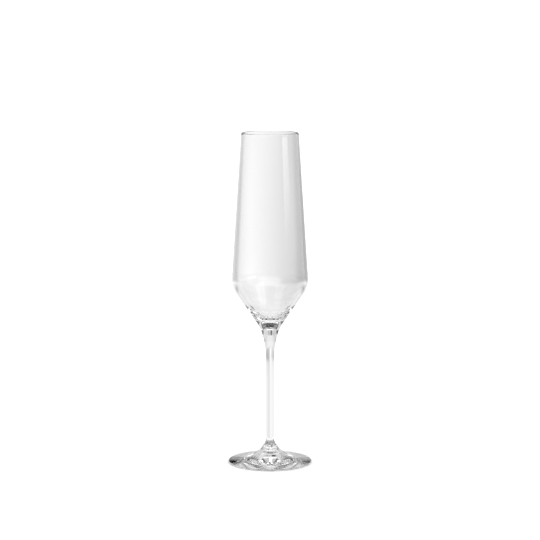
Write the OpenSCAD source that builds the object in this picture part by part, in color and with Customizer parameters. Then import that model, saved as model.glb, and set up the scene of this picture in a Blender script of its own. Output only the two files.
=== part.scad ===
// Champagne flute: a blown bowl, a drawn stem and a pressed foot, fused end to end.
// Millimetres, +Z up. The origin is the centre of the foot, on the plane that it rests on.

/* [Overall] */
// Height from the resting plane to the rim
glass_h = 245; // [235:1:260]

/* [Bowl outside] */
// Outer radius at the rim
rim_r = 20.95; // [19:0.05:23]
// Radius at which the tall upper cone and the short lower cone would meet in a sharp edge
shoulder_r = 28.3; // [26:0.05:31]
// Height of that sharp edge
shoulder_z = 132; // [125:0.5:138]
// Radius that rounds that edge into the shoulder
shoulder_round = 20; // [12:1:34]
// Radius at which the lower cone would meet the stem's flare in a sharp edge
throat_r = 8.1; // [7.7:0.05:8.4]
// Height of that sharp edge
throat_z = 102.5; // [102:0.1:103]
// Radius that rounds it
throat_round = 3.1; // [1:0.1:6]

/* [Bowl inside] */
// Thickness of the glass at the rim, which is rounded over its whole width
rim_wall = 1.1; // [0.8:0.1:1.6]
// Thickness of the glass at the shoulder and along the lower cone
shoulder_wall = 2.2; // [1.4:0.1:2.8]
// Radius at which the inner cone ends and the floor of the hollow begins
inner_cone_end_r = 18.5; // [14:0.5:21]
// Height of the lowest point of the hollow
hollow_z = 107.8; // [106.5:0.1:109]
// How far the floor of the hollow keeps the direction of the cone
hollow_side = 10.2; // [6:0.2:12]
// How wide the floor of the hollow stays almost flat
hollow_floor = 7.5; // [4:0.1:10]

/* [Stem] */
// Radius of the slim part of the stem
stem_r = 3; // [2.5:0.1:3.5]
// Height at which the stem starts to widen towards the bowl
upper_flare_z = 74; // [70:0.1:84]
// Height of the seam between bowl and stem
upper_seam_z = 100.5; // [99.5:0.1:101]
// Radius of that seam
upper_seam_r = 7.1; // [6.9:0.05:7.2]
// Height at which the stem starts to widen towards the foot
lower_flare_z = 18.8; // [17:0.1:30]
// Height of the seam between stem and foot
lower_seam_z = 13.2; // [12.8:0.1:13.6]
// Radius of that seam
lower_seam_r = 4.7; // [4.4:0.1:5]

/* [Foot] */
// Radius of the foot
foot_r = 30.8; // [28:0.1:35]
// Thickness of the foot's rounded edge
foot_edge = 1.3; // [1.1:0.1:1.8]
// Radius of the collar that carries the stem
collar_r = 7; // [6.8:0.05:7.1]
// Height at which the collar turns from its shoulder to its side
collar_z = 9.77; // [9.7:0.01:10.2]
// Radius that rounds that turn
collar_round = 0.99; // [0.6:0.01:1.05]
// Radius of the crease below the collar, where the cone of the foot starts
cone_top_r = 7.24; // [7.1:0.02:7.5]
// Height of that crease
cone_top_z = 9.18; // [9:0.02:9.3]
// Radius at which the cone turns from its steep upper part to its flatter lower part
cone_r = 13.33; // [11:0.01:15]
// Height of that turn
cone_z = 5.27; // [5:0.01:6]
// Radius that rounds that turn
cone_round = 6; // [3:0.5:15]
// Radius at which the cone would meet the flat outer part of the foot in a sharp edge
bend_r = 20; // [18:0.1:21]
// Height of that sharp edge
bend_z = 2.46; // [2.2:0.02:3]
// Radius that rounds it
bend_round = 27; // [10:1:30]
// Width of the flat ring that the foot rests on
rest_ring_w = 3.96; // [2:0.02:5]
// How far the underside is raised in the middle
underside_rise = 0.77; // [0.5:0.01:1.5]
// Radius at which the underside starts to rise noticeably
underside_side_r = 6.18; // [5:0.02:12]
// How wide the raised middle stays almost flat
underside_flat_r = 5.68; // [3:0.02:9]

/* [Hidden] */
$fn = 96;

crystal = [0.93, 0.95, 0.96, 0.45];
// Steps on a curve of the outline
curve_steps = 14;
small_curve_steps = 6;
// How sharply the stem widens: 2 is a parabola, and more keeps it slim for longer
upper_flare_power = 2.6;
lower_flare_power = 2.89;
// Radius that softens the crease below the collar
crease_round = 0.18;
// Height of the underside where it starts to rise noticeably, as a share of the whole rise
underside_side_share = 0.195;

// A point the share t of the way from a to b
function along(a, b, t) = a + (b - a) * t;

// The unit vector from a to b
function heading(a, b) = (b - a) / norm(b - a);

// Half of the angle at b between a and c
function half_angle(a, b, c) = acos(heading(b, a) * heading(b, c)) / 2;

// The unit vector from b midway between a and c
function midway(a, b, c) =
    let (sum = heading(b, a) + heading(b, c))
    sum / norm(sum);

// The corner b moved inwards, so that it is the given distance from both of its sides
function inset_corner(a, b, c, gap) = b + midway(a, b, c) * gap / sin(half_angle(a, b, c));

// The corner b between a and c, rounded by an arc of the given radius
function rounded_corner(a, b, c, radius, steps) =
    let (
        half = half_angle(a, b, c),
        centre = b + midway(a, b, c) * radius / sin(half),
        start = b + heading(b, a) * radius / tan(half) - centre,
        finish = b + heading(b, c) * radius / tan(half) - centre,
        first = atan2(start.y, start.x),
        last = atan2(finish.y, finish.x),
        turn = last - first > 180 ? last - first - 360
             : last - first < -180 ? last - first + 360
             : last - first
    )
    [for (i = [0 : steps]) centre + radius * [cos(first + turn * i / steps), sin(first + turn * i / steps)]];

// A cubic curve from a to d with the handles b and c
function bezier(a, b, c, d, steps) =
    [for (i = [0 : steps]) let (t = i / steps)
        a * pow(1 - t, 3) + 3 * b * t * pow(1 - t, 2) + 3 * c * t * t * (1 - t) + d * pow(t, 3)];

// The stem's side between its slim part, which ends at z_slim, and a seam
function flare(z_slim, seam, power) =
    [for (i = [0 : curve_steps]) let (t = i / curve_steps)
        [along(stem_r, seam.x, pow(t, power)), along(z_slim, seam.y, t)]];

function reversed(points) = [for (i = [len(points) - 1 : -1 : 0]) points[i]];

// The outside of the bowl, from the seam up to the rim
upper_seam = [upper_seam_r, upper_seam_z];
throat = [throat_r, throat_z];
shoulder = [shoulder_r, shoulder_z];
rim_outer = [rim_r, glass_h - rim_wall / 2];
bowl_outside = concat(
    [upper_seam],
    rounded_corner(upper_seam, throat, shoulder, throat_round, small_curve_steps),
    rounded_corner(throat, shoulder, rim_outer, shoulder_round, curve_steps)
);

// The rim's half-round, from outside to inside
rim_bead = [for (i = [0 : small_curve_steps]) let (turn = 180 * i / small_curve_steps)
    [rim_r - rim_wall / 2, glass_h - rim_wall / 2] + rim_wall / 2 * [cos(turn), sin(turn)]];

// The inside of the bowl, from the rim down to the middle of the hollow
rim_inner = [rim_r - rim_wall, glass_h - rim_wall / 2];
inner_corner = inset_corner(throat, shoulder, rim_outer, shoulder_wall);
down = heading(shoulder, throat);
cone_end = inner_corner + down * (inner_cone_end_r - inner_corner.x) / down.x;
bowl_inside = concat(
    rounded_corner(rim_inner, inner_corner, cone_end, shoulder_round - shoulder_wall, curve_steps),
    bezier(cone_end, cone_end + down * hollow_side, [hollow_floor, hollow_z], [0, hollow_z], curve_steps)
);

// The foot's upper side, from the seam out to the edge, and its underside back to the middle
lower_seam = [lower_seam_r, lower_seam_z];
collar = [collar_r, collar_z];
cone_top = [cone_top_r, cone_top_z];
cone_turn = [cone_r, cone_z];
bend = [bend_r, bend_z];
edge_middle = [foot_r - foot_edge / 2, foot_edge / 2];
edge_top = edge_middle + [0, foot_edge / 2];
foot_top = concat(
    [lower_seam],
    rounded_corner(lower_seam, collar, cone_top, collar_round, small_curve_steps),
    rounded_corner(collar, cone_top, cone_turn, crease_round, small_curve_steps),
    rounded_corner(cone_top, cone_turn, bend, cone_round, small_curve_steps),
    rounded_corner(cone_turn, bend, edge_top, bend_round, curve_steps)
);
foot_side = [for (i = [0 : small_curve_steps]) let (turn = 180 * i / small_curve_steps)
    edge_middle + foot_edge / 2 * [sin(turn), cos(turn)]];
rest_inner = edge_middle.x - rest_ring_w;
underside = bezier([rest_inner, 0],
    [underside_side_r, underside_rise * underside_side_share],
    [underside_flat_r, underside_rise],
    [0, underside_rise], curve_steps);

module turned(outline) {
    rotate_extrude() polygon(outline);
}

module bowl() {
    color(crystal) turned(concat(
        [[0, upper_seam_z]], bowl_outside, rim_bead, bowl_inside
    ));
}

module stem() {
    color(crystal) turned(concat(
        [[0, lower_seam_z]],
        reversed(flare(lower_flare_z, lower_seam, lower_flare_power)),
        flare(upper_flare_z, upper_seam, upper_flare_power),
        [[0, upper_seam_z]]
    ));
}

module foot() {
    color(crystal) turned(concat(
        [[0, lower_seam_z]], foot_top, foot_side, underside
    ));
}

bowl();
stem();
foot();
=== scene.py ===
"""Looks of a clear crystal champagne flute, standing on a white table in a white photo studio."""

import math

import bpy
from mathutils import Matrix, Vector


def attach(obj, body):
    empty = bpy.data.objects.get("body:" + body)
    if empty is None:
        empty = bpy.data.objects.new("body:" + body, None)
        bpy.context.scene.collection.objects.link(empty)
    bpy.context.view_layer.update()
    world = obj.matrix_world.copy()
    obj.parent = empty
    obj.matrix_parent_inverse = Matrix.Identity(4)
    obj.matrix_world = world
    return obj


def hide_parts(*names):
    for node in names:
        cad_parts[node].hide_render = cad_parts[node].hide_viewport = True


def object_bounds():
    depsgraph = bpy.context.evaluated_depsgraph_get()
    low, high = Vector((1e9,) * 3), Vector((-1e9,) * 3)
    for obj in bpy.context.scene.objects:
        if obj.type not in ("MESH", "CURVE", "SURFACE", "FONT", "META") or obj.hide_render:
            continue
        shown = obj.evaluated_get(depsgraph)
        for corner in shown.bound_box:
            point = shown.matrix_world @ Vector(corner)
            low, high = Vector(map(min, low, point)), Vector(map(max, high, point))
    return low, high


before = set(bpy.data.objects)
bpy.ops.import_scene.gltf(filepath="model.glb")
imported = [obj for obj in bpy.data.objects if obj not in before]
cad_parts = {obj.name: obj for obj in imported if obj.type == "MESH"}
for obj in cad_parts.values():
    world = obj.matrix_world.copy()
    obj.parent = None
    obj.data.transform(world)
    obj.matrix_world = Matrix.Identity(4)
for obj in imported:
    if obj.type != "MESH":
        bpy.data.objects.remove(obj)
cad_low, cad_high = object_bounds()
scene = bpy.context.scene

# ---------------------------------------------------------------- sizes, in millimetres
MM = 0.001
HEIGHT = cad_high.z / MM
FOOT_R = cad_high.x / MM

RIM_R = 20.95
SHOULDER = (28.3, 132.0)
SHOULDER_ROUND = 20.0
RIM_WALL = 1.1
SHOULDER_WALL = 2.2
INNER_CONE_END_R = 18.5
HOLLOW_Z = 107.8
HOLLOW_SIDE = 10.2
HOLLOW_FLOOR = 7.5
BOWL_CORNER = (8.1, 102.5)
BOWL_CORNER_ROUND = 3.1

STEM_R = 3.0
UPPER_SEAM = (7.1, 100.5)
UPPER_FLARE_Z = 74.0
UPPER_FLARE_POWER = 2.6
LOWER_SEAM = (4.7, 13.2)
LOWER_FLARE_Z = 18.8
LOWER_FLARE_POWER = 2.89

COLLAR_CORNER = (7.0, 9.77)
COLLAR_ROUND = 0.99
COLLAR_FOOT = (7.24, 9.18)
CREASE_ROUND = 0.18
FOOT_CONE = (13.33, 5.27)
FOOT_CONE_ROUND = 6.0
FOOT_BEND = (20.0, 2.46)
FOOT_BEND_ROUND = 27.0
FOOT_EDGE = 1.3
REST_RING_W = 3.96
UNDERSIDE_RISE = 0.77
UNDERSIDE_SIDE = (6.18, 0.15)
UNDERSIDE_FLAT_R = 5.68

# How finely the outlines are drawn
TURNS = 256
CURVE_STEPS = 40
SMALL_CURVE_STEPS = 12
CREASE_STEPS = 8
EDGE_STEPS = 16
UNDERSIDE_STEPS = 60
LONG_SIDE_STEPS = 60
MIDDLE_SIDE_STEPS = 30
SHORT_SIDE_STEPS = 12
INNER_CONE_STEPS = 10
FOOT_NECK_STEPS = 8


# ---------------------------------------------------------------- outlines
def corner_frame(a, b, c):
    """The unit vectors from b to a and to c, the one midway, and half the angle between them."""
    to_a = (Vector(a) - Vector(b)).normalized()
    to_c = (Vector(c) - Vector(b)).normalized()
    return to_a, to_c, (to_a + to_c).normalized(), to_a.angle(to_c) / 2


def inset_corner(a, b, c, gap):
    """The corner b moved inwards, so that it is the given distance from both of its sides."""
    _, _, midway, half = corner_frame(a, b, c)
    return tuple(Vector(b) + midway * gap / math.sin(half))


def rounded_corner(a, b, c, radius, steps=CURVE_STEPS):
    """The arc that rounds the corner b, between a and c."""
    to_a, to_c, midway, half = corner_frame(a, b, c)
    centre = Vector(b) + midway * radius / math.sin(half)
    start = Vector(b) + to_a * radius / math.tan(half) - centre
    end = Vector(b) + to_c * radius / math.tan(half) - centre
    first = math.atan2(start.y, start.x)
    turn = math.remainder(math.atan2(end.y, end.x) - first, 2 * math.pi)
    angles = [first + turn * i / steps for i in range(steps + 1)]
    return [(centre.x + radius * math.cos(w), centre.y + radius * math.sin(w)) for w in angles]


def bezier(a, b, c, d, steps=CURVE_STEPS):
    """A cubic curve from a to d with the handles b and c."""
    points = []
    for i in range(steps + 1):
        t = i / steps
        weights = ((1 - t) ** 3, 3 * t * (1 - t) ** 2, 3 * t * t * (1 - t), t**3)
        points.append(tuple(sum(w * p[k] for w, p in zip(weights, (a, b, c, d))) for k in (0, 1)))
    return points


def flare(z_slim, seam, power):
    """The stem's side from its slim part to a seam."""
    shares = [i / CURVE_STEPS for i in range(CURVE_STEPS + 1)]
    return [(STEM_R + (seam[0] - STEM_R) * t**power, z_slim + (seam[1] - z_slim) * t) for t in shares]


def straight(a, b, steps):
    """The points between a and b, without a and b themselves."""
    shares = [i / steps for i in range(1, steps)]
    return [tuple(p + (q - p) * t for p, q in zip(a, b)) for t in shares]


def arc(centre, radius, first, turn, steps):
    """Part of a circle, from the angle first, in degrees."""
    angles = [math.radians(first + turn * i / steps) for i in range(steps + 1)]
    return [(centre[0] + radius * math.cos(w), centre[1] + radius * math.sin(w)) for w in angles]


def bowl_outline():
    rim_z = HEIGHT - RIM_WALL / 2
    rim_outer, rim_inner = (RIM_R, rim_z), (RIM_R - RIM_WALL, rim_z)
    corner_arc = rounded_corner(UPPER_SEAM, BOWL_CORNER, SHOULDER, BOWL_CORNER_ROUND, SMALL_CURVE_STEPS)
    outer_arc = rounded_corner(BOWL_CORNER, SHOULDER, rim_outer, SHOULDER_ROUND)
    # The inner cone keeps its distance from the outer one, and then bends into the hollow's floor
    inner_corner = inset_corner(BOWL_CORNER, SHOULDER, rim_outer, SHOULDER_WALL)
    down = (Vector(BOWL_CORNER) - Vector(SHOULDER)).normalized()
    cone_end = Vector(inner_corner) + down * (INNER_CONE_END_R - inner_corner[0]) / down.x
    inner_arc = rounded_corner(rim_inner, inner_corner, cone_end, SHOULDER_ROUND - SHOULDER_WALL)
    hollow = bezier(cone_end, cone_end + down * HOLLOW_SIDE, (HOLLOW_FLOOR, HOLLOW_Z), (0, HOLLOW_Z))
    return (
        [(0, UPPER_SEAM[1]), UPPER_SEAM]
        + corner_arc
        + straight(corner_arc[-1], outer_arc[0], MIDDLE_SIDE_STEPS)
        + outer_arc
        + straight(outer_arc[-1], rim_outer, LONG_SIDE_STEPS)
        + arc((RIM_R - RIM_WALL / 2, rim_z), RIM_WALL / 2, 0, 180, SMALL_CURVE_STEPS)
        + straight(rim_inner, inner_arc[0], LONG_SIDE_STEPS)
        + inner_arc
        + straight(inner_arc[-1], hollow[0], INNER_CONE_STEPS)
        + hollow
    )


def stem_outline():
    lower = flare(LOWER_FLARE_Z, LOWER_SEAM, LOWER_FLARE_POWER)[::-1]
    upper = flare(UPPER_FLARE_Z, UPPER_SEAM, UPPER_FLARE_POWER)
    slim = straight(lower[-1], upper[0], MIDDLE_SIDE_STEPS)
    return [(0, LOWER_SEAM[1])] + lower + slim + upper + [(0, UPPER_SEAM[1])]


def foot_outline():
    edge = (FOOT_R - FOOT_EDGE / 2, FOOT_EDGE)
    collar = rounded_corner(LOWER_SEAM, COLLAR_CORNER, COLLAR_FOOT, COLLAR_ROUND, SMALL_CURVE_STEPS)
    crease = rounded_corner(COLLAR_CORNER, COLLAR_FOOT, FOOT_CONE, CREASE_ROUND, CREASE_STEPS)
    cone = rounded_corner(COLLAR_FOOT, FOOT_CONE, FOOT_BEND, FOOT_CONE_ROUND, SMALL_CURVE_STEPS)
    bend = rounded_corner(FOOT_CONE, FOOT_BEND, edge, FOOT_BEND_ROUND)
    ring = (edge[0] - REST_RING_W, 0)
    raised = (UNDERSIDE_FLAT_R, UNDERSIDE_RISE)
    underside = bezier(ring, UNDERSIDE_SIDE, raised, (0, UNDERSIDE_RISE), UNDERSIDE_STEPS)
    from_seam_to_middle = (
        [(0, LOWER_SEAM[1]), LOWER_SEAM]
        + straight(LOWER_SEAM, collar[0], FOOT_NECK_STEPS)
        + collar
        + crease
        + straight(crease[-1], cone[0], SHORT_SIDE_STEPS)
        + cone
        + bend
        + straight(bend[-1], edge, SHORT_SIDE_STEPS)
        + arc((edge[0], FOOT_EDGE / 2), FOOT_EDGE / 2, 90, -180, EDGE_STEPS)
        + underside
    )
    return from_seam_to_middle[::-1]


# ---------------------------------------------------------------- meshes
ON_AXIS = 1e-6
GLASS_SLOT = 0
SEAM_SLOT = 1


def turned(name, outline, seams):
    """A closed mesh made by turning an outline, which starts and ends on the axis, about +Z.
    The flat discs at the heights in seams take the second material and have sharp edges."""
    verts, rings = [], []
    for r, z in outline:
        if r < ON_AXIS:
            rings.append([len(verts)])
            verts.append((0, 0, z * MM))
            continue
        rings.append(list(range(len(verts), len(verts) + TURNS)))
        for i in range(TURNS):
            w = 2 * math.pi * i / TURNS
            verts.append((r * math.cos(w) * MM, r * math.sin(w) * MM, z * MM))
    faces = []
    for low, high in zip(rings, rings[1:]):
        for i in range(TURNS):
            j = (i + 1) % TURNS
            if len(low) == 1:
                faces.append((low[0], high[j], high[i]))
            elif len(high) == 1:
                faces.append((low[i], low[j], high[0]))
            else:
                faces.append((low[i], low[j], high[j], high[i]))
    mesh = bpy.data.meshes.new(name)
    mesh.from_pydata(verts, [], faces)
    mesh.shade_smooth()

    def on_seam(vertex_numbers):
        heights = {round(mesh.vertices[v].co.z / MM, 4) for v in vertex_numbers}
        return len(heights) == 1 and heights.pop() in seams

    for face in mesh.polygons:
        face.material_index = SEAM_SLOT if on_seam(face.vertices) else GLASS_SLOT
    for edge in mesh.edges:
        off_axis = all(mesh.vertices[v].co.xy.length > ON_AXIS for v in edge.vertices)
        edge.use_edge_sharp = off_axis and on_seam(edge.vertices)
    piece = bpy.data.objects.new(name, mesh)
    scene.collection.objects.link(piece)
    return piece


# ---------------------------------------------------------------- materials
CRYSTAL_COLOUR = (0.970, 0.970, 0.973, 1)
CRYSTAL_IOR = 1.52
TABLE_COLOUR = (0.9, 0.9, 0.9, 1)
TABLE_ROUGHNESS = 0.9


def new_material(name):
    material = bpy.data.materials.new(name)
    material.use_nodes = True
    return material, material.node_tree.nodes, material.node_tree.links


def glass(name, wave_size, wave_height):
    """Clear polished crystal with the very faint waviness of hot-worked glass, in millimetres."""
    material, nodes, links = new_material(name)
    shader = nodes["Principled BSDF"]
    shader.inputs["Base Color"].default_value = CRYSTAL_COLOUR
    shader.inputs["Roughness"].default_value = 0.0
    shader.inputs["IOR"].default_value = CRYSTAL_IOR
    shader.inputs["Transmission Weight"].default_value = 1.0
    place = nodes.new("ShaderNodeTexCoord")
    waves = nodes.new("ShaderNodeTexNoise")
    waves.inputs["Scale"].default_value = 1 / (wave_size * MM)
    waves.inputs["Detail"].default_value = 1.0
    bump = nodes.new("ShaderNodeBump")
    bump.inputs["Strength"].default_value = 1.0
    bump.inputs["Distance"].default_value = wave_height * MM
    links.new(place.outputs["Object"], waves.inputs["Vector"])
    links.new(waves.outputs["Fac"], bump.inputs["Height"])
    links.new(bump.outputs["Normal"], shader.inputs["Normal"])
    return material


def seam_material():
    """Where two pieces are fused there is no surface, so light goes straight through."""
    material, nodes, links = new_material("fused_seam")
    nodes.remove(nodes["Principled BSDF"])
    clear = nodes.new("ShaderNodeBsdfTransparent")
    links.new(clear.outputs["BSDF"], nodes["Material Output"].inputs["Surface"])
    return material


def table_material():
    material, nodes, _ = new_material("white_table")
    shader = nodes["Principled BSDF"]
    shader.inputs["Base Color"].default_value = TABLE_COLOUR
    shader.inputs["Roughness"].default_value = TABLE_ROUGHNESS
    return material


# ---------------------------------------------------------------- camera
CAMERA_PLACE = (0.0, -1.430, 0.346)
CAMERA_PITCH = 8.04
CAMERA_LENS_PX = 1965.0
IMAGE_PX = 540
SENSOR_WIDTH = 36.0
FAR_CLIP = 50


def make_camera():
    camera = bpy.data.cameras.new("camera")
    camera.sensor_width = SENSOR_WIDTH
    camera.lens = SENSOR_WIDTH * CAMERA_LENS_PX / IMAGE_PX
    camera.clip_end = FAR_CLIP
    eye = bpy.data.objects.new("camera", camera)
    eye.location = CAMERA_PLACE
    eye.rotation_euler = (math.radians(90 - CAMERA_PITCH), 0, 0)
    scene.collection.objects.link(eye)
    scene.camera = eye


# ---------------------------------------------------------------- studio
# Azimuths are in degrees from straight behind the flute, positive to the right, and elevations
# in degrees from its foot. A brightness of 1 is white.
#
# The ring is the studio around the flute, at about the height where the floor meets the wall:
# azimuth and brightness.
STUDIO_RING = [
    (-180, 0.8),
    (-150, 1.1),
    (-120, 0.8),
    (-90, 0.3),
    (-62, 0.35),
    (-42, 0.55),
    (-28, 0.65),
    (-18, 0.7),
    (-8, 1.0),
    (-3, 1.05),
    (3, 0.75),
    (8, 0.56),
    (16, 0.5),
    (26, 0.44),
    (48, 0.5),
    (70, 0.3),
    (100, 0.25),
    (150, 0.75),
]
RING_FROM = -10.0
RING_TO = -3.2
RING_SOFT = 3.0
RAMP_TOP = 4
STUDIO_GLOW = 0.02
# What the camera sees directly
ROOM_BRIGHTNESS = 1.25
# Wider than a full turn, so that the soft sides of such a box fall outside it
ALL_ROUND = 370

# Floor, wall, panels and soft boxes: middle azimuth, width, softness of the sides, lowest and
# highest elevation, softness of those, and brightness. A negative brightness is a shadow.
SOFT_BOXES = [
    # The floor beyond the table, lighter at the left and darker at the right, with soft shadows
    (0, ALL_ROUND, 1, -95, -10, 3, 0.9),
    (-13, 26, 8, -15, -9, 3, 0.06),
    (15, 26, 12, -15, -9, 3, -0.1),
    (-42, 44, 24, -24, -16, 8, -0.4),
    (42, 44, 24, -24, -16, 8, -0.5),
    # Two dark strips on that floor
    (-12, 6, 2, -33, -21, 2, -0.9),
    (12, 6, 2, -33, -21, 2, -0.8),
    # The wall above the ring, brighter straight behind
    (0, ALL_ROUND, 1, -3.2, 9, 3, 0.7),
    (0, 44, 8, -2.5, 9, 2, 0.14),
    # Low panels behind, with a dark gap left of the middle
    (-35.5, 53, 4, 9, 19.5, 2, 0.6),
    (35.5, 53, 4, 9, 19.5, 2, 0.7),
    (0, 6, 2, 9, 19.5, 2, 0.6),
    (6, 6, 2, 9, 19.5, 2, 0.45),
    # A panel above them, brighter low in its middle and dark above that
    (0, 76, 8, 19.5, 32, 2, 0.65),
    (0, 26, 8, 19.5, 25, 2, 0.5),
    (0, 18, 4, 25, 32, 2, -0.6),
    # A small bright light high up behind, in a wide dim one
    (-3, 10, 5, 36, 46, 2, 1.6),
    (0, 56, 8, 36, 46, 2, 0.6),
    # A pair of top lights
    (-35, 42, 4, 48, 73, 2, 1.8),
    (35, 42, 4, 48, 73, 2, 1.8),
    # Soft boxes at both sides, with a dim stretch below each
    (-128, 44, 6, 35, 62, 3, 1.1),
    (128, 44, 6, 35, 62, 3, 1.5),
    (-122, 55, 20, 10, 35, 10, 0.3),
    (122, 55, 20, 10, 35, 10, 0.3),
    # The lower end of a strip light at the right
    (118, 24, 4, 0, 10, 2, 1.8),
    # A large soft box behind the camera
    (180, 76, 28, 8, 52, 20, 2.1),
]


def make_world():
    """White to the camera, and the studio above to the glass."""
    world = bpy.data.worlds.new("studio")
    world.use_nodes = True
    scene.world = world
    nodes, links = world.node_tree.nodes, world.node_tree.links
    nodes.clear()

    def math_node(operation, a, b=None):
        node = nodes.new("ShaderNodeMath")
        node.operation = operation
        for socket, value in zip(node.inputs, (a, b)):
            if value is None:
                continue
            if isinstance(value, (int, float)):
                socket.default_value = value
            else:
                links.new(value, socket)
        return node.outputs[0]

    def since(value, edge, soft):
        """0 below the edge and 1 above it, with a smooth step as wide as soft."""
        node = nodes.new("ShaderNodeMapRange")
        node.interpolation_type = "SMOOTHSTEP"
        node.inputs["From Min"].default_value = edge - soft / 2
        node.inputs["From Max"].default_value = edge + soft / 2
        links.new(value, node.inputs["Value"])
        return node.outputs["Result"]

    def until(value, edge, soft):
        return math_node("SUBTRACT", 1.0, since(value, edge, soft))

    def between(value, low, high, soft):
        return math_node("MULTIPLY", since(value, low, soft), until(value, high, soft))

    direction = nodes.new("ShaderNodeTexCoord").outputs["Generated"]
    split = nodes.new("ShaderNodeSeparateXYZ")
    links.new(direction, split.inputs[0])
    x, y, z = split.outputs
    azimuth = math_node("MULTIPLY", math_node("ARCTAN2", x, y), 180 / math.pi)
    elevation = math_node("MULTIPLY", math_node("ARCSINE", z), 180 / math.pi)

    # The ramp holds the ring's brightness divided by RAMP_TOP, so that its colours stay below 1
    ramp = nodes.new("ShaderNodeValToRGB")
    links.new(math_node("DIVIDE", math_node("ADD", azimuth, 180), 360), ramp.inputs[0])
    ramp.color_ramp.interpolation = "EASE"
    stops = STUDIO_RING + [(180, STUDIO_RING[0][1])]
    while len(ramp.color_ramp.elements) < len(stops):
        ramp.color_ramp.elements.new(0.5)
    for element, (angle, level) in zip(ramp.color_ramp.elements, stops):
        element.position = (angle + 180) / 360
        element.color = (level / RAMP_TOP, level / RAMP_TOP, level / RAMP_TOP, 1)
    ring = math_node("MULTIPLY", ramp.outputs[0], RAMP_TOP)
    light = math_node("MULTIPLY", ring, between(elevation, RING_FROM, RING_TO, RING_SOFT))
    light = math_node("ADD", light, STUDIO_GLOW)
    for middle, width, side_soft, low, high, soft, level in SOFT_BOXES:
        # How far the azimuth is from the middle, the short way round
        aside = math_node("PINGPONG", math_node("SUBTRACT", azimuth, middle), 180)
        across = until(aside, width / 2, side_soft)
        shape = math_node("MULTIPLY", across, between(elevation, low, high, soft))
        light = math_node("ADD", light, math_node("MULTIPLY", shape, level))

    studio = nodes.new("ShaderNodeBackground")
    links.new(light, studio.inputs["Color"])
    plain = nodes.new("ShaderNodeBackground")
    plain.inputs["Color"].default_value = (1, 1, 1, 1)
    plain.inputs["Strength"].default_value = ROOM_BRIGHTNESS
    paths = nodes.new("ShaderNodeLightPath").outputs
    seen_in_glass = math_node("MAXIMUM", paths["Is Transmission Ray"], paths["Is Glossy Ray"])
    mix = nodes.new("ShaderNodeMixShader")
    links.new(seen_in_glass, mix.inputs[0])
    links.new(plain.outputs[0], mix.inputs[1])
    links.new(studio.outputs[0], mix.inputs[2])
    output = nodes.new("ShaderNodeOutputWorld")
    links.new(mix.outputs[0], output.inputs["Surface"])



# ---------------------------------------------------------------- table
TABLE_HALF = 60.0
TABLE_GAP = 0.05


def make_table():
    """A small white plate, a hair below the foot, so that the glass shows the studio beyond it."""
    size, z = TABLE_HALF * MM, -TABLE_GAP * MM
    mesh = bpy.data.meshes.new("table")
    corners = [(-size, -size, z), (size, -size, z), (size, size, z), (-size, size, z)]
    mesh.from_pydata(corners, [], [(0, 1, 2, 3)])
    mesh.materials.append(table_material())
    table = bpy.data.objects.new("table", mesh)
    scene.collection.objects.link(table)


# ---------------------------------------------------------------- build
# Light crosses many glass surfaces on its way through the foot
GLASS_BOUNCES = 32
GLOSS_BOUNCES = 16

make_camera()
make_world()
make_table()

seam = seam_material()
# CAD node, outline, heights of its seams, and material
parts = [
    ("bowl", bowl_outline(), (UPPER_SEAM[1],), glass("bowl_crystal", 14, 0.004)),
    ("stem", stem_outline(), (LOWER_SEAM[1], UPPER_SEAM[1]), glass("stem_crystal", 10, 0.003)),
    ("foot", foot_outline(), (LOWER_SEAM[1],), glass("foot_crystal", 8, 0.004)),
]
for node, outline, seams, material in parts:
    piece = turned(node + "_glass", outline, seams)
    piece.data.materials.append(material)
    piece.data.materials.append(seam)
    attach(piece, "root")
    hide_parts(node)

scene.view_settings.view_transform = "Standard"
scene.cycles.max_bounces = GLASS_BOUNCES
scene.cycles.transmission_bounces = GLASS_BOUNCES
scene.cycles.transparent_max_bounces = GLASS_BOUNCES
scene.cycles.glossy_bounces = GLOSS_BOUNCES
